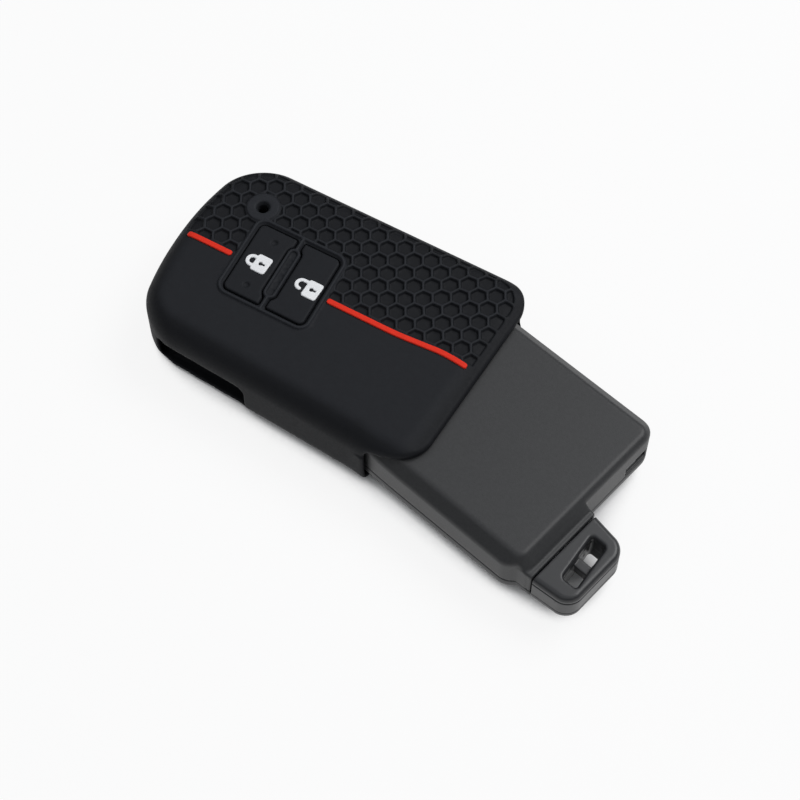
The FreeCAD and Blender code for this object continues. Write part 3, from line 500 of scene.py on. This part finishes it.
def make_pad(name, side, body, replaced, dimples):
    def field(x, y, z):
        dips = 0
        for dimple_x, dimple_y in dimples:
            away = np.hypot(x - dimple_x, y - dimple_y)
            dips = dips + DIMPLE_DEPTH * ramp(DIMPLE_RADIUS - away, 0, 0.7)
        slab = corner(pad_plan(x, y, side) + 0.08, z - PAD_TOP + dips, 0.45)
        slab = np.maximum(slab, PAD_LOW - z)
        nub = rounded_rectangle((x - PADS_X) * side - NUB_X, y, NUB_HALF_X, NUB_HALF_Y, 0.5)
        nub = np.maximum(np.maximum(nub, NUB_LOW - z), z - PAD_LOW - 0.4)
        return smooth_min(slab, nub, 0.15)

    low, high = sorted((PADS_X - side * 0.3, PADS_X + side * 11.0))
    xs, ys = steps((low, high, 0.17)), steps((-9.6, 9.6, 0.17))
    points, faces = skin(field, xs, ys, steps((15.5, 18.7, 0.14)))
    return piece(name, points, faces, body, PAD_SILICONE, replaced, keep=0.6)


def padlock(x, y, hooked):
    """A padlock's plan about its body's middle, shackle towards -X; a hooked one has a free near leg."""
    body = rounded_rectangle(x, y, LOCK_HALF_X, LOCK_HALF_Y, 0.6)
    bow_x, bow_y = (-2.75, 0.25) if hooked else (-2.2, 0.0)
    across = y - bow_y
    bow = np.abs(np.hypot(np.minimum(x - bow_x, 0), across) - BOW_RADIUS) - BOW_HALF
    if hooked:
        bow = np.maximum(bow, np.where(across < 0, x - bow_x, -9.0))
        bow = np.minimum(bow, np.hypot(x - bow_x, across + BOW_RADIUS) - BOW_HALF)
    bow = np.maximum(bow, x)
    plan = smooth_min(body, bow, 0.18)
    stem = np.maximum(np.abs(y) - 0.2, np.abs(x - 0.25) - 0.55)
    keyhole = np.minimum(np.hypot(x + 0.25, y) - 0.42, stem)
    return smooth_max(plan, -keyhole, 0.12)


def make_icon(name, centre_x, centre_y, hooked, body, replaced):
    def field(x, y, z):
        plan = padlock(x - centre_x, y - centre_y, hooked)
        return np.maximum(corner(plan, z - PAD_TOP - ICON_HIGH, 0.24), PAD_TOP - z)

    xs = steps((centre_x - 4.7, centre_x + 2.2, 0.08))
    ys = steps((centre_y - 2.5, centre_y + 2.5, 0.08))
    points, faces = skin(field, xs, ys, steps((18.1, 18.8, 0.07)))
    return piece(name, points, faces, body, ICON_WHITE, replaced, keep=0.6)


def make_stripe(name, low, high, replaced):
    def field(x, y, z):
        above = cover_outside(x, y, z, 0 * x)
        ends = np.maximum(low - x, x - high)
        plan = corner(np.abs(y - stripe_line(x)) - STRIPE_HALF, ends, 0.5)
        return np.maximum(corner(plan, above - STRIPE_PROUD, 0.28), -above)

    floor = 17.0 if low < PADS_X else 17.7
    xs = steps((low - 0.4, high + 0.4, 0.14))
    ys = steps((STRIPE_Y - 0.9, STRIPE_Y + 1.8, 0.09))
    points, faces = skin(field, xs, ys, steps((floor, 18.7, 0.09)))
    return piece(name, points, faces, "cover", STRIPE_RED, replaced, keep=0.6)


# The fob and its key, in the fob's own place.


def fob_plan(x, y, inset, bow=0.0, tail=FOB_LONG):
    """The fob's plan, with a bowed head if asked, and a near side that widens towards the tail."""
    sides = np.maximum(y, -y - FOB_WIDEN * ramp(x, 0.0, 40.0)) - FOB_HALF + inset
    head = corner(inset + bow * y * y - x, sides, FOB_HEAD_RADIUS - inset)
    return np.maximum(head, corner(x - tail + inset, sides, FOB_TAIL_RADIUS - inset))


def block(x, y, z, low, high):
    """A box between two corners."""
    reach = [np.maximum(a - p, p - b) for p, a, b in zip((x, y, z), low, high)]
    return np.maximum(np.maximum(reach[0], reach[1]), reach[2])


def ledge(x, y, z, low, high):
    """The step at the fob's tail that the key's head meets."""
    across = np.abs(y - KEY_Y) - LEDGE_HALF
    step = np.maximum(corner(across, x - LEDGE_END, 0.4), 68.0 - x)
    return np.maximum(corner(step, z - high, 0.35), low - z)


def front_case_field(x, y, z):
    riser = np.maximum(corner(np.abs(y - KEY_Y) - LEDGE_HALF, x - RISER_END, 0.4), 66.0 - x)
    plan = smooth_min(fob_plan(x, y, 0, FOB_BOW), riser, 0.5)
    bevel = (fob_plan(x, y, 0, FOB_BOW, RISER_END) + z - BEVEL_LOW) * 0.7071
    shell = smooth_max(corner(plan, z - FOB_HIGH, 0.3), bevel, 0.5)
    shell = smooth_min(shell, ledge(x, y, z, 3.0, 10.2), 0.5)
    shell = smooth_max(shell, FRONT_SEAM - z, 0.3)
    room = corner(fob_plan(x, y, FOB_WALL), z - ROOM_TOP, 2.2)
    shell = smooth_max(shell, -room, 0.3)
    for button_x in BUTTONS_X:
        hole = rounded_rectangle(x - button_x, y, BUTTON_HALF_X, BUTTON_HALF_Y, 0.4)
        shell = smooth_max(shell, -np.maximum(hole, 9.0 - z), 0.3)
    shell = smooth_max(shell, PIPE_RADIUS - np.hypot(x - PIPE_X, y - PIPE_Y), 0.2)
    blade = block(x, y, z, (67.0, -15.0, 4.7), (75.0, -7.4, 7.5))
    knob = block(x, y, z, (67.0, 12.0, 4.7), (72.5, 18.5, 7.5))
    return smooth_max(smooth_max(shell, -blade, 0.3), -knob, 0.4)


def rear_case_field(x, y, z):
    shell = corner(fob_plan(x, y, 0, FOB_BOW), -z, BELLY_RADIUS)
    shell = smooth_min(shell, ledge(x, y, z, 2.2, 5.0), 0.4)
    shell = smooth_max(shell, z - REAR_SEAM, 0.3)
    room = corner(fob_plan(x, y, FOB_WALL), ROOM_LOW - z, 1.2)
    return smooth_max(shell, -room, 0.3)


def key_plan(x, y):
    """The key head's plan, whose sides draw in towards its end."""
    near = KEY_NEAR + KEY_NEAR_SLANT * (x - KEY_ROOT) - y
    far = (y - KEY_FAR + KEY_FAR_SLANT * (x - KEY_ROOT)) / KEY_FAR_LENGTH
    return corner(x - KEY_END, np.maximum(near, far), KEY_RADIUS)


def key_head_field(x, y, z):
    line = 0.22 * ramp(0.3 - np.abs(z - KEY_LINE), 0, 0.2)
    groove = line + 0.12 * ramp(0.22 - np.abs(z - KEY_SEAM), 0, 0.15)
    shell = corner(corner(key_plan(x, y) + groove, z - KEY_TOP, 1.3), KEY_LOW - z, 0.8)
    shell = corner(shell, KEY_ROOT - x, 0.2)
    middle = y - KEY_Y
    slot = rounded_rectangle(x - SLOT_X + SLOT_SLANT * middle, middle - SLOT_SHIFT,
                             SLOT_HALF_X, SLOT_HALF_Y, SLOT_RADIUS)
    dish = slot - np.maximum(z - 9.3, 0) * 0.7
    shell = smooth_max(shell, -np.maximum(dish, RIB_TOP - z), 0.3)
    shell = smooth_max(shell, -np.maximum(slot, z - RIB_LOW), 0.3)
    windows = np.maximum(slot, RIB_HALF - np.abs(middle))
    shell = smooth_max(shell, -windows, 0.3)
    blade_root = block(x, y, z, (72.0, -14.85, 4.85), (76.15, -7.55, 7.35))
    pin = np.maximum(np.hypot(x - PIN_X, middle) - PIN_RADIUS, z - PIN_TOP)
    return np.maximum(np.maximum(shell, -blade_root), -pin)


def make_fob():
    xs, ys = steps((-0.7, 66.0, 0.42), (66.0, 73.8, 0.2)), steps((-23.3, 22.5, 0.38))
    points, faces = skin(front_case_field, xs, ys, steps((3.2, 13.6, 0.26)))
    piece("front_case_skin", points, faces, "fob", CASE_GREY, "front_case",
          keep=0.5, place=FOB_PLACE)
    points, faces = skin(rear_case_field, xs, ys, steps((-0.6, 4.7, 0.3)))
    piece("rear_case_skin", points, faces, "fob", CASE_GREY, "rear_case",
          keep=0.5, place=FOB_PLACE)
    xs, ys = steps((72.8, 83.3, 0.16)), steps((-21.6, -0.8, 0.16))
    points, faces = skin(key_head_field, xs, ys, steps((1.7, 10.6, 0.16)))
    piece("key_head_skin", points, faces, "emergency_key", KEY_PLASTIC, "key_head",
          keep=0.5, place=FOB_PLACE)


def make_spring():
    """The latch's spring, which the latch presses together against the case."""
    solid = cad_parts["latch_spring"]
    points = np.array([solid.matrix_world @ vertex.co for vertex in solid.data.vertices]) / MM
    solid.data.calc_loop_triangles()
    faces = [list(triangle.vertices) for triangle in solid.data.loop_triangles]
    coil = piece("latch_spring_coil", points, faces, "fob", STEEL, "latch_spring")
    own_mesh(coil)


make_cover()
LOCK_DIMPLES = ((PADS_X - 5.5, 5.9), (PADS_X - 5.0, -6.2))
make_pad("lock_pad_skin", -1, "lock_pad_body", "lock_pad", LOCK_DIMPLES)
make_pad("unlock_pad_skin", 1, "unlock_pad_body", "unlock_pad", ())
make_icon("lock_icon_skin", PADS_X - 4.9, -0.3, False, "lock_pad_body", "lock_icon")
make_icon("unlock_icon_skin", PADS_X + 7.9, -0.6, True, "unlock_pad_body", "unlock_icon")
make_stripe("stripe_head_skin", HEAD + 3.4, PADS_X - FRAME_HALF_X - 0.6, "red_stripe_head")
make_stripe("stripe_mouth_skin", PADS_X + FRAME_HALF_X + 0.45, RIM - 4.0, "red_stripe_mouth")
make_fob()
make_spring()

DRESS = {
    "fob_lock_button": FOB_KEY, "fob_unlock_button": FOB_KEY, "button_membrane": GREY_RUBBER,
    "circuit_board": BOARD_GREEN, "tact_switches": STEEL, "controller_chip": CHIP_BLACK,
    "antenna_coil": FERRITE, "indicator_led": LED_RED, "light_pipe": CLEAR, "coin_cell": STEEL,
    "cell_clip_plus": CONTACT, "cell_clip_minus": CONTACT, "case_seal": DARK_RUBBER,
    "key_blade": BLADE_STEEL, "key_pin": STEEL, "key_latch": KEY_PLASTIC,
}
for node, material in DRESS.items():
    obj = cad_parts[node]
    for slot in obj.material_slots:
        slot.link = "OBJECT"
        slot.material = material


# Stage, light and camera.


def make_floor():
    mesh = bpy.data.meshes.new("floor")
    reach = 3.0
    corners = [(-reach, -reach, 0), (reach, -reach, 0), (reach, reach, 0), (-reach, reach, 0)]
    mesh.from_pydata(corners, [], [(0, 1, 2, 3)])
    floor = bpy.data.objects.new("floor", mesh)
    bpy.context.scene.collection.objects.link(floor)
    material = bpy.data.materials.new("floor_white")
    material.use_nodes = True
    nodes, links = material.node_tree.nodes, material.node_tree.links
    shader = nodes["Principled BSDF"]
    shader.inputs["Base Color"].default_value = (0.86, 0.86, 0.86, 1)
    shader.inputs["Roughness"].default_value = 0.9
    shader.inputs["Specular IOR Level"].default_value = 0.0
    glow = nodes.new("ShaderNodeEmission")
    path = nodes.new("ShaderNodeLightPath")
    seen = path.outputs["Is Camera Ray"]
    for kind in ("Is Glossy Ray", "Is Transmission Ray"):
        either = nodes.new("ShaderNodeMath")
        either.operation = "MAXIMUM"
        links.new(seen, either.inputs[0])
        links.new(path.outputs[kind], either.inputs[1])
        seen = either.outputs[0]
    # Where the object closes off the floor, as under the key's slot, it shows its true shade.
    closed = nodes.new("ShaderNodeAmbientOcclusion")
    closed.inputs["Distance"].default_value = 0.03
    open_share = nodes.new("ShaderNodeMapRange")
    open_share.inputs["From Min"].default_value = 0.36
    open_share.inputs["From Max"].default_value = 0.54
    open_share.inputs["To Max"].default_value = 0.88
    links.new(closed.outputs["AO"], open_share.inputs["Value"])
    share = nodes.new("ShaderNodeMath")
    share.operation = "MULTIPLY"
    links.new(open_share.outputs["Result"], share.inputs[1])
    links.new(seen, share.inputs[0])
    mix = nodes.new("ShaderNodeMixShader")
    links.new(share.outputs[0], mix.inputs["Fac"])
    links.new(shader.outputs["BSDF"], mix.inputs[1])
    links.new(glow.outputs["Emission"], mix.inputs[2])
    links.new(mix.outputs["Shader"], nodes["Material Output"].inputs["Surface"])
    mesh.materials.append(material)


def make_flags():
    """A low dark ring round the set, as black cards round a product table, that the camera doesn't see."""
    count, radius, low, high = 48, 0.7, 0.12, 0.5
    points, faces = [], []
    for k in range(count):
        turn = 2 * math.pi * k / count
        points += [(radius * math.cos(turn), radius * math.sin(turn), z) for z in (low, high)]
        nxt = (k + 1) % count
        faces.append((2 * k, 2 * nxt, 2 * nxt + 1, 2 * k + 1))
    mesh = bpy.data.meshes.new("flags")
    mesh.from_pydata(points, [], faces)
    flags = bpy.data.objects.new("flags", mesh)
    bpy.context.scene.collection.objects.link(flags)
    mesh.materials.append(node_material("flag_black", (0.02, 0.02, 0.02), 0.9, specular=0.0))
    flags.visible_camera = False


def make_light():
    world = bpy.data.worlds.new("studio")
    bpy.context.scene.world = world
    world.use_nodes = True
    sky = world.node_tree.nodes["Background"]
    sky.inputs["Color"].default_value = (0.93, 0.95, 0.98, 1)
    sky.inputs["Strength"].default_value = 0.7
    lamp = bpy.data.lights.new("softbox", "AREA")
    lamp.shape = "RECTANGLE"
    lamp.size, lamp.size_y = 0.7, 0.6
    lamp.energy = 6.0
    softbox = bpy.data.objects.new("softbox", lamp)
    bpy.context.scene.collection.objects.link(softbox)
    softbox.location = (0.38, 0.5, 0.75)
    aim = Vector((0.02, -0.01, 0)) - softbox.location
    softbox.rotation_euler = aim.to_track_quat("-Z", "Y").to_euler()


def make_camera():
    azimuth, elevation, distance = math.radians(30.0), math.radians(59.5), 0.398
    target = Vector((0.02585, -0.01431, FRONT * MM))
    level = math.cos(elevation)
    back = Vector((math.sin(azimuth) * level, -math.cos(azimuth) * level, math.sin(elevation)))
    lens = bpy.data.cameras.new("camera")
    lens.sensor_width = 36.0
    lens.lens = 36.0 * 1953 / 800
    lens.clip_start = 0.01
    camera = bpy.data.objects.new("camera", lens)
    bpy.context.scene.collection.objects.link(camera)
    camera.location = target + back * distance
    camera.rotation_euler = (-back).to_track_quat("-Z", "Y").to_euler()
    bpy.context.scene.camera = camera


make_floor()
make_flags()
make_light()
make_camera()
bpy.context.scene.view_settings.view_transform = "Standard"
